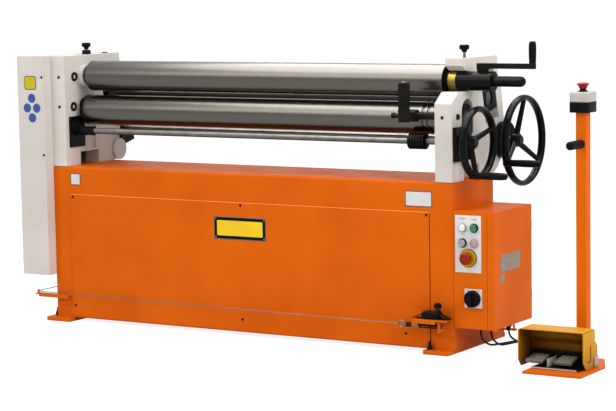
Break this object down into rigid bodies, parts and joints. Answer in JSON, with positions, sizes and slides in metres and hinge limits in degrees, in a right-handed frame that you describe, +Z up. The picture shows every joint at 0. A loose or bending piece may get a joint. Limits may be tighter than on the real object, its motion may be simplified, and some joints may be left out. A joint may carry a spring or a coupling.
{
  "type": "slip roll machine",
  "caption": "Motorised slip roll: driven top and lower rolls and a rear bending roll between side frames on a cabinet, with handwheels, release crank, trip wire and a pedal stand.",
  "frame": {"origin": "centre of the four floor-bolt holes in the foot plates, at floor level", "axes": "+X to the right along the rolls, +Y to the back, +Z up"},
  "size_m": [2.383, 0.7322, 1.0638],
  "materials": {
    "orange_paint": "semi-gloss",
    "white_paint": "semi-gloss",
    "ground_steel": "ground",
    "bright_steel": "polished",
    "steel": "satin",
    "black_casting": "gloss black",
    "black_steel": "oxide black",
    "brass": "polished",
    "black_plastic": "matte",
    "grey_plastic": "satin",
    "plate_grey": "satin",
    "green_plastic": "gloss",
    "red_plastic": "gloss",
    "yellow_paint": "semi-gloss",
    "cable_rubber": "matte"
  },
  "bodies": {
    "machine": {"base_cabinet": "orange_paint", "front_panel": "orange_paint", "levelling_screws": "black_steel", "black_screws": "black_steel", "left_frame": "white_paint", "right_frame": "white_paint", "ball_seat": "white_paint", "lift_gearboxes": "black_casting", "rear_gearboxes": "black_casting", "cone_bar": "black_steel", "drive_cover": "white_paint", "gear_plate": "steel", "drive_chain": "steel", "gearmotor": "black_casting", "ebox_body": "orange_paint", "control_plate": "plate_grey", "cable_glands": "black_plastic", "wire_brackets": "orange_paint", "trip_wire": "bright_steel", "trip_switch": "black_plastic", "pedal_stand": "orange_paint", "post_handle": "black_plastic", "estop_box": "black_plastic", "pedal_body": "black_plastic", "pedal_guard": "yellow_paint", "cable_left_pedal": "cable_rubber", "cable_right_pedal": "cable_rubber", "cable_stop": "cable_rubber"},
    "top_bearings": {"ball_ring": "steel", "brass_bush": "brass", "bearing_housing": "black_casting"},
    "top_roll": {"top_roll": "ground_steel"},
    "lock_crank": {"lock_crank": "black_steel"},
    "crank_grip": {"crank_grip": "black_plastic"},
    "lower_slides": {"lower_blocks": "black_casting"},
    "lower_roll": {"lower_roll": "ground_steel"},
    "rear_slides": {"rear_blocks": "black_casting"},
    "rear_roll": {"rear_roll": "ground_steel"},
    "front_wheel": {"cross_shaft": "bright_steel", "front_handwheel": "black_casting"},
    "front_grip": {"front_grip": "black_plastic"},
    "rear_wheel": {"rear_shaft": "steel", "rear_handwheel": "black_casting"},
    "rear_grip": {"rear_grip": "black_plastic"},
    "left_knob": {"left_knob": "black_plastic"},
    "right_knob": {"right_knob": "black_plastic"},
    "cone_clamp": {"cone_clamp": "black_steel"},
    "cone_roller": {"cone_roller": "black_steel"},
    "top_gear": {"top_gear": "steel"},
    "lower_gear": {"lower_gear": "steel"},
    "output_sprocket": {"output_sprocket": "steel"},
    "ebox_door": {"ebox_door": "orange_paint"},
    "switch_knob": {"switch_knob": "black_plastic"},
    "green_button": {"green_button": "green_plastic"},
    "grey_button": {"grey_button": "grey_plastic"},
    "panel_estop": {"panel_estop": "red_plastic"},
    "post_estop": {"post_estop": "red_plastic"},
    "reset_knob": {"reset_knob": "black_plastic"},
    "pedal_left": {"pedal_left": "grey_plastic"},
    "pedal_right": {"pedal_right": "grey_plastic"}
  },
  "joints": [
    {"name": "top_roll_swing", "type": "hinge", "parent": "machine", "child": "top_bearings", "pos_m": [-0.795, -0.0535, 0.9275], "axis": [0, 0, 1], "range_deg": [-2.9, 0]},
    {"name": "top_roll_spin", "type": "hinge", "parent": "top_bearings", "child": "top_roll", "pos_m": [0.0175, -0.0535, 0.9275], "axis": [1, 0, 0], "continuous": true},
    {"name": "crank_turn", "type": "hinge", "parent": "top_bearings", "child": "lock_crank", "pos_m": [0.9335, -0.0535, 0.9665], "axis": [0, 0, 1], "range_deg": [-90, 0]},
    {"name": "crank_grip_spin", "type": "hinge", "parent": "lock_crank", "child": "crank_grip", "pos_m": [1.1185, -0.0535, 1.027], "axis": [0, 0, 1], "continuous": true},
    {"name": "lower_roll_lift", "type": "slide", "parent": "machine", "child": "lower_slides", "axis": [0, 0, 1], "range_m": [-0.004, 0.015]},
    {"name": "lower_roll_spin", "type": "hinge", "parent": "lower_slides", "child": "lower_roll", "pos_m": [0.0175, -0.0535, 0.798], "axis": [1, 0, 0], "continuous": true},
    {"name": "rear_roll_slide", "type": "slide", "parent": "machine", "child": "rear_slides", "axis": [0, -0.2419, 0.9703], "range_m": [-0.036, 0.058]},
    {"name": "rear_roll_spin", "type": "hinge", "parent": "rear_slides", "child": "rear_roll", "pos_m": [0.0175, 0.1175, 0.858], "axis": [1, 0, 0], "continuous": true},
    {"name": "front_wheel_turn", "type": "hinge", "parent": "machine", "child": "front_wheel", "pos_m": [0.9375, -0.1075, 0.722], "axis": [1, 0, 0], "range_deg": [-720, 2700]},
    {"name": "front_grip_spin", "type": "hinge", "parent": "front_wheel", "child": "front_grip", "pos_m": [1.0175, -0.15058, 0.61537], "axis": [1, 0, 0], "continuous": true},
    {"name": "rear_wheel_turn", "type": "hinge", "parent": "machine", "child": "rear_wheel", "pos_m": [0.9595, 0.20666, 0.70709], "axis": [1, 0, 0], "range_deg": [-6480, 10440]},
    {"name": "rear_grip_spin", "type": "hinge", "parent": "rear_wheel", "child": "rear_grip", "pos_m": [1.0275, 0.07301, 0.63899], "axis": [1, 0, 0], "continuous": true},
    {"name": "left_knob_turn", "type": "hinge", "parent": "machine", "child": "left_knob", "pos_m": [-0.795, 0.0115, 1.03], "axis": [0, 0, 1], "continuous": true},
    {"name": "right_knob_turn", "type": "hinge", "parent": "machine", "child": "right_knob", "pos_m": [0.841, -0.0095, 1.03], "axis": [0, 0, 1], "continuous": true},
    {"name": "cone_clamp_slide", "type": "slide", "parent": "machine", "child": "cone_clamp", "axis": [1, 0, 0], "range_m": [-0.018, 0.05]},
    {"name": "cone_roller_spin", "type": "hinge", "parent": "cone_clamp", "child": "cone_roller", "pos_m": [0.7135, -0.2105, 0.88], "axis": [0, 0, 1], "continuous": true},
    {"name": "top_gear_spin", "type": "hinge", "parent": "machine", "child": "top_gear", "pos_m": [-0.8715, -0.0535, 0.9275], "axis": [1, 0, 0], "continuous": true},
    {"name": "lower_gear_spin", "type": "hinge", "parent": "machine", "child": "lower_gear", "pos_m": [-0.8715, -0.0535, 0.798], "axis": [1, 0, 0], "continuous": true},
    {"name": "output_spin", "type": "hinge", "parent": "machine", "child": "output_sprocket", "pos_m": [-0.8825, -0.0535, 0.33], "axis": [1, 0, 0], "continuous": true},
    {"name": "ebox_door_hinge", "type": "hinge", "parent": "machine", "child": "ebox_door", "pos_m": [1.0055, 0.1285, 0.3], "axis": [0, 0, 1], "range_deg": [0, 110]},
    {"name": "switch_knob_turn", "type": "hinge", "parent": "machine", "child": "switch_knob", "pos_m": [0.951, -0.1905, 0.2], "axis": [0, -1, 0], "range_deg": [0, 90]},
    {"name": "green_button_press", "type": "slide", "parent": "machine", "child": "green_button", "axis": [0, 1, 0], "range_m": [0, 0.003], "stiffness_N_per_m": 300, "springref_m": -0.002},
    {"name": "grey_button_press", "type": "slide", "parent": "machine", "child": "grey_button", "axis": [0, 1, 0], "range_m": [0, 0.003], "stiffness_N_per_m": 300, "springref_m": -0.002},
    {"name": "panel_estop_press", "type": "slide", "parent": "machine", "child": "panel_estop", "axis": [0, 1, 0], "range_m": [0, 0.004]},
    {"name": "post_estop_press", "type": "slide", "parent": "machine", "child": "post_estop", "axis": [0, 0, -1], "range_m": [0, 0.004]},
    {"name": "reset_knob_press", "type": "slide", "parent": "machine", "child": "reset_knob", "axis": [0, 0, -1], "range_m": [0, 0.004], "stiffness_N_per_m": 400, "springref_m": -0.003},
    {"name": "pedal_left_press", "type": "hinge", "parent": "machine", "child": "pedal_left", "pos_m": [1.2265, -0.2225, 0.038], "axis": [1, 0, 0], "range_deg": [0, 6], "stiffness_Nm_per_rad": 2, "springref_deg": -14.32},
    {"name": "pedal_right_press", "type": "hinge", "parent": "machine", "child": "pedal_right", "pos_m": [1.3285, -0.2225, 0.038], "axis": [1, 0, 0], "range_deg": [0, 6], "stiffness_Nm_per_rad": 2, "springref_deg": -14.32}
  ],
  "couplings": [
    {"joint": "top_gear_spin", "follows": "top_roll_spin", "ratio": 1},
    {"joint": "lower_gear_spin", "follows": "top_roll_spin", "ratio": -1},
    {"joint": "lower_roll_spin", "follows": "top_roll_spin", "ratio": -1},
    {"joint": "output_spin", "follows": "top_roll_spin", "ratio": -1},
    {"joint": "lower_roll_lift", "follows": "front_wheel_turn", "m_per_rad": 0.00031831},
    {"joint": "rear_roll_slide", "follows": "rear_wheel_turn", "m_per_rad": 0.00031831}
  ]
}
